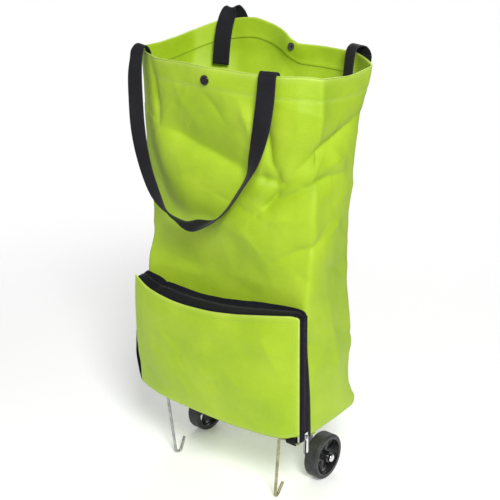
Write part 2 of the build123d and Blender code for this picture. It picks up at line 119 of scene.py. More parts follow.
def grid_faces(rows, cols, closed=False, start=0):
    """Quads of a grid of points, row by row."""
    faces = []
    for r in range(rows - 1):
        for c in range(cols if closed else cols - 1):
            d = (c + 1) % cols
            faces.append((start + r * cols + c, start + r * cols + d,
                          start + (r + 1) * cols + d, start + (r + 1) * cols + c))
    return faces


def lengths_along(path):
    """Distance of each point of a path from its start."""
    return np.concatenate([[0], np.cumsum(np.linalg.norm(np.diff(path, axis=0), axis=1))])


def thicken(obj, thick_mm, offset=-1.0):
    """Gives a sheet its thickness: inwards at -1, to both sides at 0, outwards at 1."""
    solid = obj.modifiers.new("thickness", "SOLIDIFY")
    solid.thickness = thick_mm * MM
    solid.offset = offset
    solid.use_even_offset = False


# ---- materials
def node_tree(name):
    """New material with one surface shader."""
    material = bpy.data.materials.new(name)
    material.use_nodes = True
    tree = material.node_tree
    tree.nodes.clear()
    out = tree.nodes.new("ShaderNodeOutputMaterial")
    shader = tree.nodes.new("ShaderNodeBsdfPrincipled")
    tree.links.new(shader.outputs[0], out.inputs[0])
    return material, tree, shader


def add(tree, kind, inputs=None, **props):
    """New node, with each input set to a value or linked to another node's output."""
    node = tree.nodes.new(kind)
    for key, value in props.items():
        setattr(node, key, value)
    for key, value in (inputs or {}).items():
        if isinstance(value, bpy.types.NodeSocket):
            tree.links.new(value, node.inputs[key])
        else:
            node.inputs[key].default_value = value
    return node


def math_node(tree, operation, a, b=0.0):
    return add(tree, "ShaderNodeMath", {0: a, 1: b}, operation=operation).outputs[0]


def srgb(r, g, b):
    """Linear colour from 0 to 255 display values."""
    linear = [((c / 255 + 0.055) / 1.055) ** 2.4 if c > 10 else c / 255 / 12.92 for c in (r, g, b)]
    return (*linear, 1.0)


def noise_of(tree, vector, scale, detail=3.0, rough=0.55):
    inputs = {"Vector": vector, "Scale": scale, "Detail": detail, "Roughness": rough}
    return add(tree, "ShaderNodeTexNoise", inputs).outputs["Fac"]


def ramp(tree, fac, stops):
    """Colour read from (place, colour) stops."""
    node = add(tree, "ShaderNodeValToRGB", {0: fac})
    points = node.color_ramp.elements
    while len(points) < len(stops):
        points.new(0.5)
    for point, (place, colour) in zip(points, stops):
        point.position = place
        point.color = colour
    return node.outputs[0]


def mixed(tree, fac, a, b):
    return add(tree, "ShaderNodeMix", {0: fac, 6: a, 7: b}, data_type="RGBA").outputs[2]


def weighted_sum(tree, first, second, third):
    """Sum of three node outputs, each given with its weight."""
    a, b, c = (math_node(tree, "MULTIPLY", value, weight) for value, weight in (first, second, third))
    return math_node(tree, "ADD", a, math_node(tree, "ADD", b, c))


def cloth(name, dark, mid, light, thread_mm, rough, weave, sheen, specular, worn=None, ribs=1.0):
    """Woven cloth whose threads follow the piece's own UVs, with patchy colour and worn edges."""
    material, tree, shader = node_tree(name)
    uv = add(tree, "ShaderNodeUVMap", uv_map="Cloth").outputs[0]
    part = add(tree, "ShaderNodeSeparateXYZ", {0: uv})
    turn = math.pi / (thread_mm * MM)
    across = math_node(tree, "SINE", math_node(tree, "MULTIPLY", part.outputs[0], turn))
    along = math_node(tree, "SINE", math_node(tree, "MULTIPLY", part.outputs[1], turn * ribs))
    threads = math_node(tree, "MULTIPLY", across, along)
    patches = noise_of(tree, uv, 9.0, 4.0)
    grain = noise_of(tree, uv, 420.0, 2.0, 0.7)
    tone = weighted_sum(tree, (threads, 0.05), (patches, 0.75), (grain, 0.25))
    colour = ramp(tree, tone, [(0.3, dark), (0.5, mid), (0.72, light)])
    if worn is not None:
        edge = add(tree, "ShaderNodeAttribute", attribute_name="wear").outputs["Fac"]
        rubbed = math_node(tree, "MULTIPLY", edge, noise_of(tree, uv, 60.0, 4.0, 0.7))
        colour = mixed(tree, rubbed, colour, worn)
    tree.links.new(colour, shader.inputs["Base Color"])
    roughness = add(tree, "ShaderNodeMapRange", {0: patches, 3: rough - 0.08, 4: rough + 0.08})
    tree.links.new(roughness.outputs[0], shader.inputs["Roughness"])
    shader.inputs["Sheen Weight"].default_value = sheen
    shader.inputs["Sheen Roughness"].default_value = 0.4
    shader.inputs["Specular IOR Level"].default_value = specular
    crease = noise_of(tree, uv, 38.0, 5.0, 0.6)
    height = weighted_sum(tree, (threads, 0.10), (crease, 1.1), (grain, 0.10))
    bump = add(tree, "ShaderNodeBump", {"Strength": weave, "Distance": 0.0018, "Height": height})
    tree.links.new(bump.outputs[0], shader.inputs["Normal"])
    return material


SCUFF_SCALE = (40.0, 900.0, 120.0)
SCUFF_STOPS = [(0.60, (0, 0, 0, 1)), (0.70, (1, 1, 1, 1))]
GRAIN_DEPTH = 0.0003


def hard(name, base, other, rough, metal=0.0, scale=90.0, bump=0.15, scratch=None, coat=0.0):
    """Moulded plastic, rubber or metal, with uneven colour and gloss, fine grain and scuffs."""
    material, tree, shader = node_tree(name)
    place = add(tree, "ShaderNodeTexCoord").outputs["Object"]
    patches = noise_of(tree, place, scale, 4.0)
    fine = noise_of(tree, place, scale * 14, 3.0, 0.7)
    colour = ramp(tree, patches, [(0.35, base), (0.7, other)])
    if scratch is not None:
        stretched = add(tree, "ShaderNodeMapping", {"Vector": place, "Scale": SCUFF_SCALE})
        marks = ramp(tree, noise_of(tree, stretched.outputs[0], 1.0, 3.0, 0.6), SCUFF_STOPS)
        colour = mixed(tree, math_node(tree, "MULTIPLY", marks, 0.5), colour, scratch)
    tree.links.new(colour, shader.inputs["Base Color"])
    span = add(tree, "ShaderNodeMapRange", {0: fine, 3: max(0.05, rough - 0.1), 4: rough + 0.12})
    tree.links.new(span.outputs[0], shader.inputs["Roughness"])
    shader.inputs["Metallic"].default_value = metal
    shader.inputs["Coat Weight"].default_value = coat
    height = math_node(tree, "ADD", fine, math_node(tree, "MULTIPLY", patches, 0.6))
    bumped = add(tree, "ShaderNodeBump", {"Strength": bump, "Distance": GRAIN_DEPTH, "Height": height})
    tree.links.new(bumped.outputs[0], shader.inputs["Normal"])
    return material


LIME = cloth("lime_oxford", srgb(146, 182, 24), srgb(164, 196, 34), srgb(180, 208, 52), 0.9, 0.46,
             weave=0.55, sheen=0.05, worn=srgb(204, 222, 120), specular=0.36)
WEBBING = cloth("black_webbing", srgb(16, 16, 19), srgb(25, 25, 29), srgb(37, 37, 42), 1.6, 0.75,
                weave=0.8, sheen=0.06, worn=srgb(62, 62, 68), ribs=0.8, specular=0.16)
TAPE = cloth("zip_tape_weave", srgb(10, 10, 18), srgb(16, 16, 28), srgb(27, 26, 42), 0.8, 0.7,
             weave=0.4, sheen=0.03, specular=0.14)
TEETH = hard("zip_coil", srgb(11, 11, 16), srgb(28, 28, 36), 0.36, scale=300.0)
LIME_THREAD = hard("lime_thread", srgb(150, 190, 50), srgb(190, 220, 100), 0.6, scale=900.0)
CHROME = hard("bright_plate", srgb(214, 214, 216), srgb(236, 236, 238), 0.16, 1.0,
              scratch=srgb(170, 170, 172))
WIRE = hard("zinc_wire", srgb(150, 151, 153), srgb(190, 191, 192), 0.32, 0.85,
            scratch=srgb(112, 112, 112))
WIRE_WARM = hard("zinc_wire_warm", srgb(140, 135, 106), srgb(184, 179, 146), 0.32, 0.85,
                 scratch=srgb(104, 98, 74))
STEEL = hard("bracket_steel", srgb(150, 152, 156), srgb(186, 188, 192), 0.38, 1.0,
             scratch=srgb(110, 110, 112))
STUD = hard("snap_black", srgb(14, 14, 16), srgb(30, 30, 33), 0.25, scale=200.0, coat=0.3)
WHEEL = hard("wheel_plastic", srgb(22, 22, 24), srgb(44, 44, 47), 0.34, scale=60.0,
             scratch=srgb(84, 84, 88))
TYRE = hard("tyre_rubber", srgb(34, 34, 36), srgb(58, 58, 61), 0.62, scale=80.0, bump=0.35)
BOARD = hard("base_board", srgb(38, 38, 40), srgb(66, 66, 69), 0.66, scale=120.0, bump=0.5,
             scratch=srgb(96, 96, 98))


def paint(obj, material):
    obj.data.materials.clear()
    obj.data.materials.append(material)


# ---- bag shell
# Outline of the smooth bag by height: half widths, wall depths, and how far each wall bulges.
FLOOR_Z = 134.0
LEFT_X = curve([(134, 169), (200, 169), (337, 164), (372, 162), (430, 158), (455, 156), (560, 164),
                (651, 171), (745, 173)])
RIGHT_X = curve([(134, 170), (350, 168), (540, 170), (640, 176), (745, 179)])
FRONT_L = curve([(134, -67), (200, -70), (300, -76), (350, -74), (400, -66), (540, -60), (745, -50)])
FRONT_R = curve([(134, -70), (200, -71), (250, -75), (300, -80), (350, -80), (400, -70), (540, -60),
                 (745, -52)])
FRONT_OUT = curve([(134, 0), (200, -1), (300, -8), (350, -6), (400, 8), (450, 22), (540, 34), (620, 41),
                   (745, 47)])
BACK_Y = curve([(134, 54), (141, 60), (150, 61), (165, 52), (198, 40), (230, 41), (265, 46), (330, 39),
                (379, 36), (430, 33), (488, 32), (550, 36), (622, 47), (691, 73), (745, 76)])
BACK_OUT = curve([(134, 6), (200, 20), (350, 30), (540, 48), (640, 54), (745, 46)])
SWELL = curve([(0, 1), (0.35, 0.95), (0.62, 0.8), (0.82, 0.47), (1, 0)])
SIDE_BOW = 2.0

# Height of the mouth, by distance round it from the middle of the front, rightwards.
FRONT_RIM = curve([(-174, 708), (-140, 704), (-95, 702), (-50, 703), (0, 702), (67, 700), (100, 699),
                   (150, 699), (174, 696)])
SIDE_RIM = curve([(174, 696), (200, 694), (235, 691), (270, 693), (296, 695)])
BACK_RIM = curve([(296, 695), (318, 699), (352, 703), (392, 704), (426, 705), (456, 706), (470, 711),
                  (492, 723), (526, 734), (552, 739), (611, 731), (644, 718)])
LEFT_RIM = curve([(644, 718), (690, 711), (735, 708), (766, 708)])

# Distance round at the corners: front left, front right, rear right, rear left, front left again.
CORNERS = (-174, 174, 296, 644, 766)
FRONT_N, SIDE_N, ROW_N = 112, 38, 176  # points along the front or rear, along a side, and up
ROW_POWER = 0.97  # spacing of the rows up the wall
ROUNDING = 5  # smoothing passes that round the corners


def shell_columns():
    """For each column: which wall it is on, its share along it, and its distance round the mouth."""
    columns = []
    for wall, count in enumerate((FRONT_N, SIDE_N, FRONT_N, SIDE_N)):
        start, length = CORNERS[wall], CORNERS[wall + 1] - CORNERS[wall]
        columns += [(wall, i / count, start + length * i / count) for i in range(count)]
    return columns


def wall_point(wall, t, z):
    """Point of the smooth bag, before folds, at height z."""
    left, right = -LEFT_X(z), RIGHT_X(z)
    x = left + (right - left) * t
    q = np.abs(2 * t - 1)
    if wall == 0:
        front = FRONT_L(z) * (1 - t) + FRONT_R(z) * t
        return np.stack([x, front - FRONT_OUT(z) * SWELL(q)], -1)
    if wall == 2:
        return np.stack([right + (left - right) * t, BACK_Y(z) + BACK_OUT(z) * SWELL(q)], -1)
    bow = SIDE_BOW * 4 * t * (1 - t)
    if wall == 1:
        return np.stack([right + bow, FRONT_R(z) + (BACK_Y(z) - FRONT_R(z)) * t], -1)
    return np.stack([left - bow, BACK_Y(z) + (FRONT_L(z) - BACK_Y(z)) * t], -1)


def rim_height(s):
    """Height of the mouth at a distance round it."""
    s = np.asarray(s, float)
    height = np.where(s < CORNERS[3], BACK_RIM(s), LEFT_RIM(s))
    height = np.where(s < CORNERS[2], SIDE_RIM(s), height)
    return np.where(s < CORNERS[1], FRONT_RIM(s), height)


# Each fold: its route in (distance round, height), its depth (+ is out), its reach to the left of the
# way it runs, its reach to the right, and the share of its length over which each end dies away.
FOLDS = [
    ([(173, 712), (174, 640), (176, 596)], 2.4, 5, 5, 0.3),
    ([(-128, 712), (-124, 650), (-114, 597)], -6.0, 11, 8, 0.35),
    ([(-112, 600), (-50, 581), (10, 565), (57, 553), (88, 548)], -10.0, 44, 15, 0.22),
    ([(84, 548), (106, 543), (128, 538)], -6.5, 13, 9, 0.3),
    ([(54, 662), (72, 632), (80, 600)], 4.5, 16, 16, 0.5),
    ([(108, 690), (98, 640), (108, 575), (126, 540)], -7.0, 11, 9, 0.4),
    ([(146, 690), (148, 620), (136, 566)], 3.0, 18, 18, 0.4),
    ([(128, 538), (150, 563), (174, 592), (208, 603), (252, 618), (288, 631)], -6.5, 8, 18, 0.35),
    ([(128, 538), (106, 513), (83, 493)], -6.5, 10, 7, 0.35),
    ([(83, 493), (130, 520), (174, 544), (215, 550), (262, 551)], -5.5, 8, 14, 0.4),
    ([(95, 478), (120, 486), (150, 492)], 2.5, 9, 12, 0.5),
    ([(107, 416), (149, 440), (190, 452), (236, 470)], -4.2, 9, 14, 0.45),
    ([(218, 459), (269, 480)], 3.0, 12, 14, 0.5),
    ([(176, 300), (190, 284)], -2.2, 4, 5, 0.5),
    ([(223, 372), (250, 262), (262, 160)], 3.0, 22, 20, 0.4),
    ([(190, 590), (240, 560), (290, 520)], 3.5, 16, 14, 0.5),
    ([(196, 420), (250, 400), (292, 372)], -2.5, 14, 14, 0.5),
    ([(-20, 676), (14, 640), (34, 616)], -2.0, 9, 9, 0.5),
    ([(-80, 690), (-50, 640), (-30, 610)], 2.2, 22, 20, 0.5),
    ([(-150, 560), (-120, 480), (-60, 430)], -3.0, 26, 24, 0.5),
    ([(-20, 480), (60, 450), (110, 380)], 3.5, 34, 30, 0.5),
    ([(330, 690), (352, 600), (340, 500)], -4.0, 14, 16, 0.4),
    ([(400, 660), (440, 560), (420, 440)], 4.5, 26, 26, 0.5),
    ([(612, 700), (585, 600), (600, 480)], -4.5, 16, 14, 0.4),
    ([(330, 430), (430, 400), (560, 440)], -4.0, 22, 18, 0.5),
    ([(350, 260), (470, 240), (590, 280)], -3.5, 26, 18, 0.5),
    ([(470, 700), (500, 640), (520, 560)], -3.0, 14, 14, 0.5),
    ([(660, 640), (705, 560), (690, 470)], -4.0, 16, 18, 0.5),
    ([(664, 420), (710, 380), (752, 400)], -3.0, 14, 16, 0.5),
    ([(680, 300), (715, 220), (700, 170)], 3.0, 22, 22, 0.5),
]


FOLD_BLUNT = 0.15  # roundness of a fold's ridge, in its own widths
FOLD_END = 0.25  # share of its depth that a fold keeps at its ends


def fold_depth(s, z, folds):
    """Sum of the folds at each point. Each dies away across its route and towards its ends."""
    total = np.zeros_like(s)
    for route, depth, left, right, taper in folds:
        route = np.array(route, float)
        legs = np.linalg.norm(np.diff(route, axis=0), axis=1)
        ends = lengths_along(route)
        best = np.full(s.shape, 1e9)
        place = np.zeros_like(s)
        side = np.zeros_like(s)
        for k in range(len(legs)):
            a, d = route[k], (route[k + 1] - route[k]) / legs[k]
            along = np.clip((s - a[0]) * d[0] + (z - a[1]) * d[1], 0, legs[k])
            ds, dz = s - a[0] - d[0] * along, z - a[1] - d[1] * along
            dist = np.hypot(ds, dz)
            near = dist < best
            best = np.where(near, dist, best)
            place = np.where(near, ends[k] + along, place)
            side = np.where(near, d[0] * dz - d[1] * ds, side)
        width = np.where(side > 0, left, right)
        fall = np.exp(FOLD_BLUNT - np.sqrt((best / width) ** 2 + FOLD_BLUNT**2))
        span = ends[-1]
        fade = smooth_step(place, -1e-6, taper * span + 1e-6) * (1 - FOLD_END) + FOLD_END
        fade *= 1 - smooth_step(place, span * (1 - taper), span) * (1 - FOLD_END)
        total += depth * fall * fade
    return total


def creases(count, across, up, length, seed):
    """Fine straight creases scattered over a stretch of cloth, mostly slanting."""
    draw = np.random.RandomState(seed)
    found = []
    for _ in range(count):
        s, z, reach = draw.uniform(*across), draw.uniform(*up), draw.uniform(*length)
        turn = draw.choice([-1, 1]) * draw.uniform(0.25, 1.1)
        bend = draw.uniform(-0.08, 0.08) * reach
        ds, dz = math.cos(turn) * reach / 2, math.sin(turn) * reach / 2
        depth = draw.choice([-1, 1]) * draw.uniform(0.8, 2.0)
        route = [(s - ds, z - dz), (s - bend * dz / reach, z + bend * ds / reach), (s + ds, z + dz)]
        found.append((route, depth, draw.uniform(3.0, 9.0), draw.uniform(3.0, 9.0), 0.5))
    return found


def rumple(points, scale, seed, ridged=False):
    """Smooth or creased noise at each point, from -1 to 1."""
    shift = Vector((seed * 7.3, seed * 3.1, seed * 5.7))
    values = np.array([noise.noise(Vector(p) * (1 / scale) + shift) for p in points])
    return 1 - 2 * np.abs(values) * 1.6 if ridged else values


CAP_THICK = 2.4  # press stud cap, in millimetres
CAP_SPREAD = 30  # reach of the dimple round a cap


def meet_studs(points):
    """Draws the wall to the press stud's caps, so that each cap sits on the cloth."""
    for cap, side in (("snap_front_cap", -1), ("snap_rear_cap", 1)):
        low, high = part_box(cap)
        lean = (high.y - low.y) / MM - CAP_THICK
        face = (high.y if side < 0 else low.y) / MM + side * lean / 2
        x, z = (low.x + high.x) / 2 / MM, (low.z + high.z) / 2 / MM
        reach = np.hypot(points[..., 0] - x, points[..., 2] - z)
        reach = np.where(points[..., 1] * side > 0, reach, 1e6)
        nearest = np.unravel_index(np.argmin(reach), reach.shape)
        points[..., 1] += (face - points[nearest][1]) * np.exp(-((reach / CAP_SPREAD) ** 2))


HEM_SEAM = 31  # the hem's seam, below the rim
FOOT_ROUND = 7.0  # radius where wall and floor meet
FLOOR_RINGS = 14  # rings of cloth between the wall's foot and the middle of the floor
POUCH_FROM, POUCH_TO = -176, 178  # stretch of wall behind the pouch, where the cloth lies flat
BAG_CREASES = (110, (-170, 766), (170, 690), (45, 170), 4)


def push_out(points, s, z, hem):
    """How far folds, creases, the hem's seam and the rounded foot move each point outwards."""
    spots = points.reshape(-1, 3)
    pouch = ((s > POUCH_FROM) & (s < POUCH_TO)) * (1 - smooth_step(z, 352, 378))
    free = smooth_step(z, 150, 230) * (1 - 0.75 * smooth_step(z, 640, 715)) * (1 - 0.9 * pouch)
    side_mask = np.exp(-((s - 200) / 110) ** 2) * np.exp(-((z - 520) / 110) ** 2)
    push = 1.7 * fold_depth(s, z, FOLDS) * (0.25 + 0.75 * free) * (1 - 0.95 * pouch)
    push += fold_depth(s, z, creases(*BAG_CREASES)) * free
    push += free * (3.4 * rumple(spots, 150, 1) + 2.4 * rumple(spots, 66, 2)).reshape(z.shape)
    ridges = rumple(spots * [1, 1, 0.8], 85, 3, True).reshape(z.shape)
    push += free * (0.8 + 1.6 * side_mask) * 1.3 * ridges
    push += free * 0.5 * rumple(spots, 24, 4).reshape(z.shape)
    push += -0.7 * np.exp(-((hem - HEM_SEAM) / 1.6) ** 2) + 0.5 * smooth_step(-hem, -30, -26)
    bottom = np.clip(1 - (z - FLOOR_Z) / FOOT_ROUND, 0, 1)
    return push - FOOT_ROUND * (1 - np.sqrt(1 - bottom**2))


def floor_part(foot, cols, base):
    """Points and faces that close the bag's bottom, in rings from the wall's foot to the middle."""
    middle = np.array([0, -2, FLOOR_Z])
    rings, faces, upper = [], [], 0
    for k in range(1, FLOOR_RINGS + 1):
        inner = foot + (middle - foot) * (k / (FLOOR_RINGS + 1)) ** 0.8
        inner[:, 2] = FLOOR_Z
        rings.append(inner)
        lower = base + (k - 1) * cols
        for c in range(cols):
            d = (c + 1) % cols
            faces.append((upper + d, upper + c, lower + c, lower + d))
        upper = lower
    centre = upper + cols
    faces += [(upper + (c + 1) % cols, upper + c, centre) for c in range(cols)]
    return np.concatenate(rings + [middle[None, :]]), faces


def build_shell():
    """Walls and floor of the bag as one folded cloth; also returns its grid for what is sewn to it."""
    columns = shell_columns()
    around = np.array([c[2] for c in columns], float)
    top = rim_height(around)
    shares = np.linspace(0, 1, ROW_N) ** ROW_POWER
    z = FLOOR_Z + shares[:, None] * (top - FLOOR_Z)[None, :]
    s = np.broadcast_to(around, z.shape)
    flat = np.zeros(z.shape + (2,))
    for c, (wall, t, _) in enumerate(columns):
        flat[:, c] = wall_point(wall, t, z[:, c])
    for _ in range(ROUNDING):
        flat = 0.5 * flat + 0.25 * (np.roll(flat, 1, 1) + np.roll(flat, -1, 1))
    ahead = np.roll(flat, -1, 1) - np.roll(flat, 1, 1)
    out = unit(np.stack([ahead[..., 1], -ahead[..., 0]], -1))
    points = np.concatenate([flat, z[..., None]], -1)
    hem = top[None, :] - z
    points[..., :2] += out * push_out(points, s, z, hem)[..., None]
    meet_studs(points)
    cols = len(columns)
    under, floor_faces = floor_part(points[0], cols, ROW_N * cols)
    faces = grid_faces(ROW_N, cols, True) + floor_faces
    uv = np.concatenate([np.stack([s, z], -1).reshape(-1, 2), under[:, :2]])
    rub = (np.exp(-hem / 4) * 0.9 + 0.35 * np.exp(-np.abs(hem - HEM_SEAM) / 2)
           + 0.4 * np.exp(-(z - FLOOR_Z) / 6))
    wear = np.concatenate([rub.reshape(-1), np.full(len(under), 0.15)])
    obj = mesh_piece("bag_shell", np.concatenate([points.reshape(-1, 3), under]), faces, uv, wear)
    paint(obj, LIME)
    return obj, points, out, top, around


shell, skin, skin_out, rim_top, around = build_shell()
shell_tree = BVHTree.FromPolygons([tuple(v.co) for v in shell.data.vertices],
                                  [tuple(p.vertices) for p in shell.data.polygons])
thicken(shell, SHELL_THICK)
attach(shell, "bag")
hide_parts("front_panel", "back_panel", "left_side_panel", "right_side_panel", "floor_panel")


RAY_START = 0.3  # metres in front of or behind the bag


def wall_at(x, z, side):
    """Depth of the wall's outer face in millimetres, looked for from the front (-1) or the rear (1)."""
    start = Vector((x * MM, side * RAY_START, z * MM))
    return shell_tree.ray_cast(start, Vector((0, -side, 0)))[0].y / MM


def skin_below_rim(drop):
    """Ring of points on the wall at a height from the rim, with the directions out of the wall."""
    share = np.clip((rim_top + drop - FLOOR_Z) / (rim_top - FLOOR_Z), 0, 1)
    share = share ** (1 / ROW_POWER) * (ROW_N - 1)
    low = np.minimum(share.astype(int), ROW_N - 2)
    f = (share - low)[:, None]
    column = np.arange(skin.shape[1])
    return skin[low, column] * (1 - f) + skin[low + 1, column] * f, skin_out[low, column]


# Section of the turned-in hem: how far each point lies inside the wall, and its height from the rim.
HEM_SECTION = [(-0.6, 0), (-0.1, 0.55), (0.7, 0.75), (1.5, 0.55), (1.9, 0), (2.1, -1), (2.1, -4),
               (2.0, -10), (2.0, -16), (2.0, -22), (2.1, -28), (2.3, -31), (1.5, -32)]


def build_hem():
    """Hem turned in round the mouth: a rolled edge and a band inside the wall."""
    rows = []
    for inset, drop in HEM_SECTION:
        at, normal = skin_below_rim(drop)
        at[:, :2] -= normal * inset
        at[:, 2] = rim_top + drop
        rows.append(at)
    points = np.array(rows)
    uv = np.stack([np.broadcast_to(around, points.shape[:2]), points[..., 2]], -1)
    wear = np.zeros(points.shape[:2])
    wear[:5] = 0.8
    faces = grid_faces(*points.shape[:2], True)[::-1]
    obj = mesh_piece("rim_hem_band", points.reshape(-1, 3), faces, uv.reshape(-1, 2), wear.ravel())
    paint(obj, LIME)
    thicken(obj, HEM_THICK, 0)
    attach(obj, "bag")
    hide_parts("rim_hem")


build_hem()

# A stitch: its sections as (place along it, width, lift), then its pitch, length and thread radius.
STITCH = ((-0.5, 0.35, -0.5), (-0.3, 0.95, 0.15), (0, 1.1, 0.35), (0.3, 0.95, 0.15), (0.5, 0.35, -0.5))
STITCH_PITCH, STITCH_LENGTH, STITCH_RADIUS = 4.2, 3.1, 0.42


def stitches(name, path, normals):
    """Row of lime stitches along a path on a surface."""
    normals = unit(normals)
    ends = lengths_along(path)

    def read(array, place):
        return np.array([np.interp(place, ends, array[:, k]) for k in range(3)])

    points, faces = [], []
    for d in np.arange(STITCH_PITCH / 2, ends[-1] - STITCH_PITCH / 2, STITCH_PITCH):
        middle = read(path, d)
        along = unit(read(path, d + 0.6) - read(path, d - 0.6))
        up = unit(read(normals, d))
        side = np.cross(along, up)
        first = len(points)
        for t, swell, lift in STITCH:
            for a in range(6):
                angle = a * math.pi / 3
                points.append(middle + along * t * STITCH_LENGTH
                              + side * math.cos(angle) * swell * STITCH_RADIUS
                              + up * (math.sin(angle) * swell + lift) * STITCH_RADIUS)
        faces += grid_faces(len(STITCH), 6, True, first)
        faces.append([first + a for a in range(6)][::-1])
        faces.append([first + 24 + a for a in range(6)])
    obj = mesh_piece(name, points, faces)
    paint(obj, LIME_THREAD)
    return obj


def hem_stitches():
    """Stitches round the mouth, one millimetre above the hem's seam."""
    at, out = skin_below_rim(1 - HEM_SEAM)
    out = np.concatenate([out, np.zeros((len(out), 1))], 1)
    at, out = np.vstack([at, at[:1]]), np.vstack([out, out[:1]])
    row = stitches("hem_stitching", at + out * 0.05, out)
    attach(row, "bag")


hem_stitches()

# ---- pouch
PANEL_LEFT = curve([(134, 169.5), (165, 170), (195, 174), (230, 175.5), (287, 174.5), (345, 170)])
PANEL_RIGHT = 169.2
PANEL_TOP = curve([(-176, 340), (-160, 332), (-129, 323), (-58, 318), (0, 321), (50, 328), (104, 339),
                   (140, 346), (158, 349), (172, 348)])
PANEL_LOW = curve([(-176, 134.6), (40, 134.6), (90, 137), (128, 138), (146, 140.5), (160, 146),
                   (172, 151)])
PANEL_OUT = curve([(134, 20), (205, 26), (285, 23), (330, 14), (360, 9)])
PANEL_Y = -98.0
PANEL_CORNER = 5.0  # rounding of the panel's upper corners
PANEL_ROLL = 2.6  # rounding of its edges
PANEL_SIZE = (338, 200)  # width and height that its grid is spaced for
POUCH_FOLDS = [
    ([(-120, 300), (-112, 230), (-96, 160)], -1.8, 14, 20, 0.5),
    ([(-60, 318), (-52, 250), (-58, 170)], -1.5, 18, 14, 0.5),
    ([(-20, 300), (-8, 220), (-24, 150)], 1.6, 22, 20, 0.5),
    ([(60, 322), (80, 270), (128, 250)], -1.6, 16, 22, 0.5),
    ([(100, 240), (128, 190), (140, 150)], 2.2, 24, 20, 0.5),
    ([(130, 330), (136, 300), (128, 262)], 1.6, 14, 16, 0.5),
    ([(-150, 200), (-120, 160), (-60, 142)], -1.6, 14, 16, 0.5),
    ([(10, 180), (60, 160), (110, 150)], -1.4, 16, 14, 0.5),
]
POUCH_CREASES = (26, (-160, 160), (145, 330), (30, 110), 9)


def border(count, length):
    """Places along an edge, from 0 to 1, crowded near both ends."""
    near = np.array([0, 0.25, 0.6, 1.1, 1.8, 2.8, 4.2, 6.0]) / length
    middle = np.linspace(near[-1], 1 - near[-1], count)
    return np.concatenate([near[:-1], middle, (1 - near[:-1])[::-1]])


def panel_depth(x, z, half, inner):
    """Outer face of the pouch's front panel, rolled back at its edges."""
    q = np.clip(np.abs(x) / half, 0, 1)
    y = PANEL_Y - PANEL_OUT(z) * SWELL(q)
    spots = np.stack([x, np.full_like(x, 40.0), z], -1).reshape(-1, 3)
    calm = smooth_step(inner, 0, 26)
    y -= calm * fold_depth(x, z, POUCH_FOLDS + creases(*POUCH_CREASES))
    y -= calm * (1.6 * rumple(spots, 80, 8) + 0.5 * rumple(spots, 30, 9)).reshape(x.shape)
    gather = smooth_step(inner, 0, 3) * np.exp(-inner / 9)
    y -= gather * 0.5 * rumple(spots, 9, 11).reshape(x.shape)
    near = np.clip(1 - inner / PANEL_ROLL, 0, 1)
    return y + PANEL_ROLL * (1 - np.sqrt(1 - near**2 * 0.96))


def build_panel():
    """Front panel of the pouch; also returns its grid for the stitches."""
    t, v = np.meshgrid(border(92, PANEL_SIZE[0]), border(58, PANEL_SIZE[1]))
    z = FLOOR_Z + v * PANEL_SIZE[1]
    for _ in range(3):
        left = -PANEL_LEFT(z)
        x = left + (PANEL_RIGHT - left) * t
        low, top = PANEL_LOW(x), PANEL_TOP(x)
        z = low + (top - low) * v
    half = np.where(x < 0, -left, PANEL_RIGHT)
    drop = np.clip(1 - np.minimum(x - left, PANEL_RIGHT - x) / PANEL_CORNER, 0, 1)
    top = top - PANEL_CORNER * (1 - np.sqrt(1 - drop**2 * 0.98)) * 0.8
    z = low + (top - low) * v
    inner = np.minimum(np.minimum(half - np.abs(x), top - z), z - low)
    points = np.stack([x, panel_depth(x, z, half, inner), z], -1)
    wear = 0.9 * np.exp(-inner / 2.5)
    uv = np.stack([x, z], -1).reshape(-1, 2)
    obj = mesh_piece("pouch_front_cloth", points.reshape(-1, 3), grid_faces(*x.shape), uv, wear.ravel())
    paint(obj, LIME)
    thicken(obj, PANEL_THICK)
    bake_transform(obj)
    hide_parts("pouch_front_panel")
    return points


def pouch_stitches(panel):
    """Stitches up the panel's left edge, along its top and down its right edge."""
    low, side = 7, 9
    cols = panel.shape[1]
    path = np.vstack([panel[low:-side, side], panel[-side, side:cols - side],
                      panel[low:-side, cols - side][::-1]])
    outward = np.tile([0, -1.0, 0], (len(path), 1))
    row = stitches("pouch_edge_stitching", path + outward * 0.25, outward)
    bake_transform(row)


pouch_stitches(build_panel())


BOTTOM_LEFT, BOTTOM_RIGHT, BOTTOM_REAR = -169.0, 168.6, -52.0


def build_pouch_bottom():
    """Cloth under the pouch, from the bag's front edge to the panel's foot."""
    t, v = np.meshgrid(border(80, PANEL_SIZE[0]), np.linspace(0, 1, 14))
    x = BOTTOM_LEFT + (BOTTOM_RIGHT - BOTTOM_LEFT) * t
    front = PANEL_Y - 20 * SWELL(np.abs(x) / 169.3) + 2.2
    rear = np.full_like(x, BOTTOM_REAR)
    y = rear + (front - rear) * v
    z = FLOOR_Z + 0.1 + (PANEL_LOW(x) - 134.3) * v**2 + 0.5 * np.sin(v * math.pi)
    points = np.stack([x, y, z], -1).reshape(-1, 3)
    obj = mesh_piece("pouch_bottom_cloth", points, grid_faces(*x.shape), points[:, :2],
                     np.full(x.size, 0.1))
    paint(obj, LIME)
    thicken(obj, BOTTOM_THICK, 1.0)
    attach(obj, "bag")
    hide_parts("pouch_bottom")


build_pouch_bottom()

# ---- zip
ZIP_Y = -83.2
ZIP_CORNER = 8.0  # radius of the zip's two turns
LEFT_BULGE = curve([(134, 1), (150, 6), (175, 9), (205, 5), (240, 1), (345, 0)])
REAR_Y = curve([(134, -70.5), (200, -71.5), (250, -75), (300, -79.4), (350, -79)])


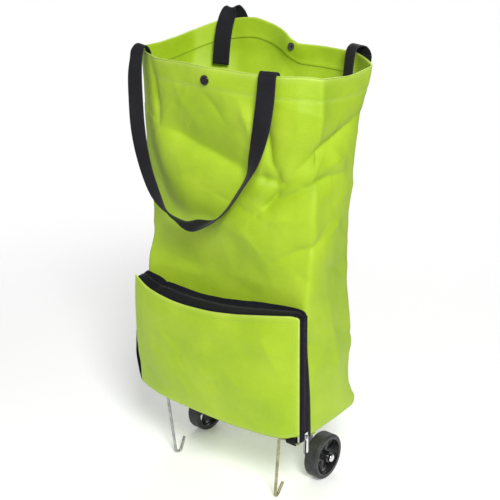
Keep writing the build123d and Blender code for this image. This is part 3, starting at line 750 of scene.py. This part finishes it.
def zip_line():
    """Middle line of the zip: up the left side, over the top and down the right side."""
    left_top, right_top = float(PANEL_TOP(-160)), float(PANEL_TOP(165))
    turns = [(1 - math.cos(a), math.sin(a)) for a in np.radians(np.linspace(0, 90, 8)[1:-1])]
    points = [(-PANEL_LEFT(z) + 0.8 - LEFT_BULGE(z), z)
              for z in np.linspace(136, left_top - ZIP_CORNER, 70)]
    x, z = points[-1]
    points += [(x + ZIP_CORNER * near, z + ZIP_CORNER * far) for near, far in turns]
    for x in np.linspace(-170 + ZIP_CORNER, PANEL_RIGHT - ZIP_CORNER, 110):
        lift = smooth_step(x, -158, -120) * (PANEL_TOP(x) - PANEL_TOP(-140)) if x < -120 else 0
        points.append((x, float(PANEL_TOP(x)) + 0.4 + lift))
    x, z = PANEL_RIGHT - ZIP_CORNER, right_top - ZIP_CORNER
    points += [(x + ZIP_CORNER * far, z + ZIP_CORNER * (1 - near) + 0.4) for near, far in turns]
    points += [(PANEL_RIGHT, z) for z in np.linspace(right_top - ZIP_CORNER, 135.5, 76)]
    return np.array(points, float)


line = zip_line()
for _ in range(3):
    line[1:-1] = 0.5 * line[1:-1] + 0.25 * (line[:-2] + line[2:])
line[line[:, 0] > 169.0, 0] = PANEL_RIGHT
step = np.gradient(line, axis=0)
line_out = unit(np.stack([-step[:, 1], step[:, 0]], -1))
line_length = lengths_along(line)


def tape(name, near, far_of, nodes, riding):
    """One zip tape: a strip from beside the teeth to its sewn edge."""
    shares = np.linspace(0, 1, 9)
    rows = []
    for i, ((x, z), (ox, oz)) in enumerate(zip(line, line_out)):
        far, sink = far_of(x, z, ox, oz)
        y = near + (far - near) * shares
        wave = 0.25 * math.sin(line_length[i] / 11.0) * shares * (abs(oz) > 0.5)
        off = 0.9 * np.sin(shares * math.pi) + wave - sink * shares**2
        rows.append(np.stack([x + ox * off, y, z + oz * off], -1))
    points = np.array(rows)
    uv = np.stack([points[..., 1], np.broadcast_to(line_length[:, None], points.shape[:2])], -1)
    order = grid_faces(*points.shape[:2])
    if far_of(0, 330, 0, 1)[0] < near:
        order = [f[::-1] for f in order]
    obj = mesh_piece(name, points.reshape(-1, 3), order, uv.reshape(-1, 2))
    paint(obj, TAPE)
    thicken(obj, TAPE_THICK)
    if riding == "bag":
        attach(obj, "bag")
    else:
        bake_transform(obj)
    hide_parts(*nodes)


def rear_edge(x, z, ox, oz):
    """Where the rear tape is sewn: to the wall over the top, and to the bag's corners at the sides."""
    corner = float(LEFT_X(z) if x < 0 else RIGHT_X(z))
    sink = (abs(x) - corner + 1.5) * ox**2 - 4.0 * oz**2
    if oz > 0.6:
        return wall_at(min(max(x, -160), 160), z + 4, -1) + 0.6, sink
    return float(REAR_Y(z)) + 4.0, sink


def front_edge(x, z, _, oz):
    """Where the front tape is sewn: just behind the panel's edge."""
    bulged = PANEL_Y - float(PANEL_OUT(z) * SWELL(min(1.0, abs(x) / 172)))
    return bulged * oz**2 + PANEL_Y * (1 - oz**2) + 2.2, 0.4


tape("zip_tape_rear_weave", ZIP_Y + 1.1, rear_edge, ["zip_tape_rear"], "bag")
tape("zip_tape_front_weave", ZIP_Y - 1.1, front_edge, ["zip_tape_front"], "flap")


# Sections of a tooth: its place across the zip, its lowest and highest points, and its half width.
TOOTH = ((-0.75, 0.3, 1.9, 0.42), (0.2, 0.1, 2.2, 0.5), (1.5, 0.2, 1.9, 0.46), (2.3, 0.0, 0.9, 0.4))
TOOTH_PITCH = 1.9
BEFORE_TEETH, AFTER_TEETH = 17.0, 16.5  # bare lengths of zip at its two ends


def coil(name, side, nodes, body):
    """Interlocking nylon teeth along one edge of the zip."""
    points, faces = [], []
    offset = 0.0 if side > 0 else TOOTH_PITCH / 2
    for d in np.arange(BEFORE_TEETH + offset, line_length[-1] - AFTER_TEETH, TOOTH_PITCH):
        x, z = (np.interp(d, line_length, line[:, k]) for k in (0, 1))
        ox, oz = (np.interp(d, line_length, line_out[:, k]) for k in (0, 1))
        along = np.array([oz, 0, -ox])
        out = np.array([ox, 0, oz])
        first = len(points)
        for y, low, high, half in TOOTH:
            across = ZIP_Y + side * (0.25 + y if y > 0 else 0.25 + y * 0.2)
            for a, h in ((-half, low), (half, low), (half * 0.7, high), (-half * 0.7, high)):
                points.append(np.array([x, across, z]) + along * a + out * h)
        faces += [face[::-side] for face in grid_faces(len(TOOTH), 4, True, first)]
        faces.append([first, first + 1, first + 2, first + 3][::side])
        faces.append([first + 12, first + 13, first + 14, first + 15][::-side])
    obj = mesh_piece(name, points, faces)
    paint(obj, TEETH)
    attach(obj, body)
    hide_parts(*nodes)


coil("zip_coil_rear", 1, ["zip_teeth_rear"], "bag")
coil("zip_coil_front", -1, ["zip_teeth_front"], "pouch_flap")


# ---- webbing
def spline_points(points, count):
    """Even points along a smooth open line through the given ones, with their distances."""
    points = np.asarray(points, float)
    padded = np.vstack([2 * points[0] - points[1], points, 2 * points[-1] - points[-2]])
    fine = []
    for i in range(1, len(padded) - 2):
        p0, p1, p2, p3 = padded[i - 1:i + 3]
        for t in np.linspace(0, 1, 24, endpoint=False):
            fine.append(0.5 * (2 * p1 + (p2 - p0) * t + (2 * p0 - 5 * p1 + 4 * p2 - p3) * t**2
                               + (3 * p1 - p0 - 3 * p2 + p3) * t**3))
    fine.append(points[-1])
    fine = np.array(fine)
    ends = lengths_along(fine)
    even = np.linspace(0, ends[-1], count)
    return np.stack([np.interp(even, ends, fine[:, k]) for k in range(fine.shape[1])], -1), even


def strap_frame(route, step=3.0):
    """Centre, width direction, face direction and distance of each ring along a strap's route."""
    rows = np.array([list(p) + list(unit(w)) for p, w in route], float)
    length = lengths_along(rows[:, :3])[-1]
    sampled, even = spline_points(rows, int(length / step) + 2)
    centre = sampled[:, :3]
    along = unit(np.gradient(centre, axis=0))
    side = sampled[:, 3:]
    side = unit(side - along * (side * along).sum(1, keepdims=True))
    return centre, side, np.cross(along, side), even


def webbing(name, rings, width=STRAP_WIDTH, thick=STRAP_THICK):
    """Flat strap through the given rings, with a rounded woven edge."""
    centre, side, face, even = rings
    half, h = width / 2, thick / 2
    outline = [(-half, 0, 0), (-half + 0.5, -h * 0.85, 0.5), (-half + 1.6, -h, 1.6)]
    outline += [(u, -h, u + half) for u in np.linspace(-half + 4, half - 4, 7)]
    outline += [(half - 1.6, -h, width - 1.6), (half - 0.5, -h * 0.85, width - 0.5), (half, 0, width)]
    outline += [(half - 0.5, h * 0.85, width + 0.5), (half - 1.6, h, width + 1.6)]
    outline += [(u, h, 1.5 * width - u) for u in np.linspace(half - 4, -half + 4, 7)]
    outline += [(-half + 1.6, h, 2 * width - 1.6), (-half + 0.5, h * 0.85, 2 * width - 0.5)]
    points = np.stack([centre + side * u + face * v for u, v, _ in outline], 1)
    n = len(outline)
    faces = grid_faces(len(centre), n, True)
    faces.append(list(range(n))[::-1])
    faces.append([(len(centre) - 1) * n + k for k in range(n)])
    shape = points.shape[:2]
    uv = np.stack([np.broadcast_to(np.array([o[2] for o in outline]), shape),
                   np.broadcast_to(even[:, None], shape)], -1)
    rubbed = [0.9 if abs(abs(o[0]) - half) < 0.6 else 0.1 for o in outline]
    wear = np.broadcast_to(np.array(rubbed), shape)
    obj = mesh_piece(name, points.reshape(-1, 3), faces, uv.reshape(-1, 2), wear.ravel())
    paint(obj, WEBBING)
    return obj


# Each strap's route: a point of its middle line and the direction of its width there.
ACROSS_FRONT = (-1, 0.065, 0.03)
ACROSS_REAR = (1, -0.015, 0)
WALL_LEFT = (0.88, 0.47, 0)
WALL_RIGHT = (-0.88, 0.47, 0)
TO_CAMERA = (-0.60, 0.72, -0.12)
front_route = [
    ((-143, -62, 660), WALL_RIGHT), ((-144, -63.5, 690), WALL_RIGHT), ((-146, -66, 709), WALL_RIGHT),
    ((-150, -74, 716), (-0.95, 0.3, 0)), ((-153, -81, 707), ACROSS_FRONT),
    ((-153.6, -84, 695), ACROSS_FRONT), ((-155, -87, 668), (-1, -0.1, 0)),
    ((-153, -90, 630), (-1, -0.15, 0)), ((-148, -94, 592), (-1, -0.15, 0)),
    ((-138, -98, 554), (-1, -0.05, 0)), ((-122, -102, 516), (-0.98, 0.1, 0)),
    ((-100, -107, 487), (-0.93, 0.24, 0)), ((-76, -109, 467), (-0.82, 0.48, 0)),
    ((-50, -109, 458), TO_CAMERA), ((-22, -109, 457), (-0.35, 0.8, 0.35)),
    ((6, -109, 465), (-0.2, 0.95, 0.1)), ((28.5, -108, 481), (-0.45, 0.85, -0.1)),
    ((54, -108, 509), TO_CAMERA), ((80, -107, 547), (-0.66, 0.7, -0.1)),
    ((93, -104, 580), (-0.93, 0.3, 0)), ((104, -101.5, 623), (-1, -0.12, 0)),
    ((111, -100.5, 662), (-1, -0.25, 0)), ((113.2, -99, 689), (-1, -0.22, 0.03)),
    ((113, -97, 699), (-1, -0.2, 0)), ((112, -92, 705.5), (-1, -0.2, 0)),
    ((110, -87, 700), (-0.97, -0.25, 0)), ((109, -85, 686), (-0.95, -0.3, 0)),
    ((108, -84, 660), (-0.95, -0.3, 0)),
]
rear_route = [
    ((-124, 82, 664), WALL_LEFT), ((-123, 88, 706), WALL_LEFT), ((-121, 96, 736), (0.9, 0.42, 0.03)),
    ((-117, 106, 753.5), (0.94, 0.22, 0.14)), ((-110.5, 113, 745), (0.92, 0.08, 0.3)),
    ((-102, 116, 727), (0.92, 0.02, 0.38)), ((-94, 117, 709), (0.95, 0, 0.3)),
    ((-90, 116.5, 691), ACROSS_REAR), ((-87, 116, 650), ACROSS_REAR), ((-77, 114, 590), (0.8, 0.5, 0)),
    ((-55, 112, 525), (0.1, 1, 0)), ((-20, 111, 472), (0, 1, 0)), ((20, 110.5, 455), (0, 1, 0)),
    ((56, 111, 470), (0, 1, 0)), ((86, 112, 522), (-0.1, 1, 0)), ((106, 113, 580), (-0.8, 0.5, 0)),
    ((124, 113, 640), (-1, 0.015, 0)), ((135, 113, 691), (-1, 0.015, 0)),
    ((135.5, 112, 705), (-1, 0.05, 0)), ((133, 106, 716), (-0.95, 0.3, 0)),
    ((129, 97, 716), WALL_RIGHT), ((127, 89, 705), WALL_RIGHT), ((126, 83, 664), WALL_RIGHT),
]
INNER_GAP, OUTER_GAP = 5.2, 2.4  # from the wall's outer face to a strap's middle
LOOP_TOP, LOOP_LOW = 703.0, 681.0  # the loop turns between these heights
REAR_TURN = 472  # distance round the mouth plus x, along the rear
SLEEVE_ROUTE = [
    (-38, 133.0), (-56, 132.9), (-68, 132.6), (-73.5, 130.2), (-74.6, 126), (-74.3, 121.5),
    (-74.5, 117.6), (-76, 115.6), (-78, 115.1), (-80, 115.6), (-81.5, 117.6), (-81.7, 121.5),
    (-81.0, 126), (-78, 130.4), (-70, 130.9), (-58, 131.1),
]


def clear_of_wall(route, outward):
    """Keeps a strap's route clear of the wall: outside it between its two peaks, else inside it."""
    middle = len(route) // 2
    first = max(range(middle), key=lambda k: route[k][0][2])
    last = max(range(middle, len(route)), key=lambda k: route[k][0][2])
    kept = []
    for k, ((x, y, z), across) in enumerate(route):
        level = min(z, float(rim_height(x if outward < 0 else REAR_TURN - x)) - 3)
        wall = wall_at(x, level, outward) * outward
        if k < first or k > last:
            y = min(y * outward, wall - INNER_GAP) * outward
        elif k not in (first, last):
            y = max(y * outward, wall + OUTER_GAP) * outward
        kept.append(((x, y, z), across))
    return kept


def handle(end, route, outward):
    """One handle: a loop that swings, and two sewn ends that stay with the bag."""
    rings = strap_frame(clear_of_wall(route, outward))
    height = rings[0][:, 2]
    middle = len(height) // 2
    first, last = np.argmax(height[:middle]), middle + np.argmax(height[middle:])
    while height[first] > LOOP_TOP:
        first += 1
    while height[last] > LOOP_TOP:
        last -= 1
    loop = webbing(end + "_strap_loop", [part[first:last + 1] for part in rings])
    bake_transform(loop)
    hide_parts(end + "_handle")
    for side, part in (("left", slice(0, first + 1)), ("right", slice(last, None))):
        sewn = webbing("%s_%s_strap_sewn" % (end, side), [rows[part] for rows in rings])
        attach(sewn, "bag")
        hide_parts("%s_%s_strap_end" % (end, side))


handle("front", front_route, -1)
handle("rear", rear_route, 1)

for name in ("left", "right"):
    low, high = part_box(name + "_leg_sleeve")
    x = (low.x + high.x) / 2 / MM
    rings = strap_frame([((x, y, z), (1, 0, 0)) for y, z in SLEEVE_ROUTE], 1.2)
    sleeve = webbing(name + "_sleeve_webbing", rings, width=(high.x - low.x) / MM, thick=SLEEVE_THICK)
    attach(sleeve, "bag")
    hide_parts(name + "_leg_sleeve")

# ---- carried-over nodes
LOOKS = {
    "zip_slider": CHROME, "zip_pull": CHROME, "zip_end_stops": CHROME, "bracket_rivets": STEEL,
    "snap_front_cap": STUD, "snap_rear_cap": STUD, "snap_front_socket": STUD, "snap_rear_stud": STUD,
    "base_board": BOARD, "left_leg": WIRE, "right_leg": WIRE_WARM,
}
for side in ("left_", "right_"):
    LOOKS[side + "wheel_rim"] = WHEEL
    LOOKS[side + "tyre"] = TYRE
    LOOKS[side + "wheel_bracket"] = STEEL
    LOOKS[side + "stub_axle"] = STEEL
    LOOKS[side + "axle_spacer"] = STEEL
    LOOKS[side + "axle_cap"] = CHROME
for node, material in LOOKS.items():
    paint(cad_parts[node], material)

# ---- stage, lights, camera
STAGE_RADIUS, STAGE_SIDES = 1.7, 72


def floor():
    """Pale round floor that fades into the white surroundings."""
    ring = [(STAGE_RADIUS * math.cos(a), STAGE_RADIUS * math.sin(a), 0)
            for a in np.linspace(0, 2 * math.pi, STAGE_SIDES, endpoint=False)]
    data = bpy.data.meshes.new("stage_floor")
    data.from_pydata(ring, [], [tuple(range(STAGE_SIDES))])
    obj = link("stage_floor", data)
    material, tree, shader = node_tree("stage_paper")
    shader.inputs["Base Color"].default_value = (0.9, 0.9, 0.9, 1)
    shader.inputs["Roughness"].default_value = 0.9
    shader.inputs["Specular IOR Level"].default_value = 0.1
    shader.inputs["Emission Color"].default_value = (1, 1, 1, 1)
    shader.inputs["Emission Strength"].default_value = 0.14
    place = add(tree, "ShaderNodeTexCoord").outputs["Object"]
    reach = add(tree, "ShaderNodeVectorMath", {0: place}, operation="LENGTH").outputs["Value"]
    solid = add(tree, "ShaderNodeMapRange", {0: reach, 1: 0.5, 2: 1.5, 3: 1.0, 4: 0.0},
                interpolation_type="SMOOTHSTEP")
    tree.links.new(solid.outputs[0], shader.inputs["Alpha"])
    data.materials.append(material)


def area(name, place, aim, size, power):
    """Soft light at a place, turned towards its aim."""
    light = bpy.data.lights.new(name, "AREA")
    light.energy = power
    light.shape = "RECTANGLE"
    light.size, light.size_y = size
    obj = link(name, light)
    obj.location = place
    obj.rotation_euler = (Vector(aim) - Vector(place)).to_track_quat("-Z", "Y").to_euler()


floor()
area("key", (1.5, -1.25, 1.9), (0, 0, 0.42), (0.75, 0.75), 61)
area("fill", (-1.9, -1.6, 1.2), (0, 0, 0.4), (1.6, 1.6), 9)
area("rear", (-0.9, 2.1, 1.5), (0, 0, 0.4), (1.6, 1.2), 22)

world = bpy.data.worlds.new("studio")
world.use_nodes = True
nodes, links = world.node_tree.nodes, world.node_tree.links
ambient, backdrop = nodes["Background"], nodes.new("ShaderNodeBackground")
ambient.inputs[0].default_value = backdrop.inputs[0].default_value = (1, 1, 1, 1)
ambient.inputs[1].default_value = 0.3
seen, choose = nodes.new("ShaderNodeLightPath"), nodes.new("ShaderNodeMixShader")
links.new(seen.outputs["Is Camera Ray"], choose.inputs[0])
links.new(ambient.outputs[0], choose.inputs[1])
links.new(backdrop.outputs[0], choose.inputs[2])
links.new(choose.outputs[0], nodes["World Output"].inputs[0])
bpy.context.scene.world = world
bpy.context.scene.view_settings.view_transform = "Standard"


AZIMUTH, ELEVATION, ROLL = math.radians(39.07), math.radians(21.09), math.radians(-0.93)
DISTANCE, LENS, TARGET = 1.6394, 72.6, Vector((-0.0011, 0, 0.3876))


def camera():
    """Camera seen from the right of the front, a little above the mouth."""
    back = Vector((math.sin(AZIMUTH) * math.cos(ELEVATION), -math.cos(AZIMUTH) * math.cos(ELEVATION),
                   math.sin(ELEVATION)))
    right = (-back).cross(Vector((0, 0, 1))).normalized()
    up = right.cross(-back)
    turned = right * math.cos(ROLL) + up * math.sin(ROLL)
    upright = up * math.cos(ROLL) - right * math.sin(ROLL)
    data = bpy.data.cameras.new("camera")
    data.sensor_width = 36.0
    data.lens = LENS
    data.clip_end = 40
    obj = link("camera", data)
    rows = [(turned[k], upright[k], back[k], TARGET[k] + back[k] * DISTANCE) for k in range(3)]
    obj.matrix_world = Matrix((*rows, (0, 0, 0, 1)))
    bpy.context.scene.camera = obj


camera()
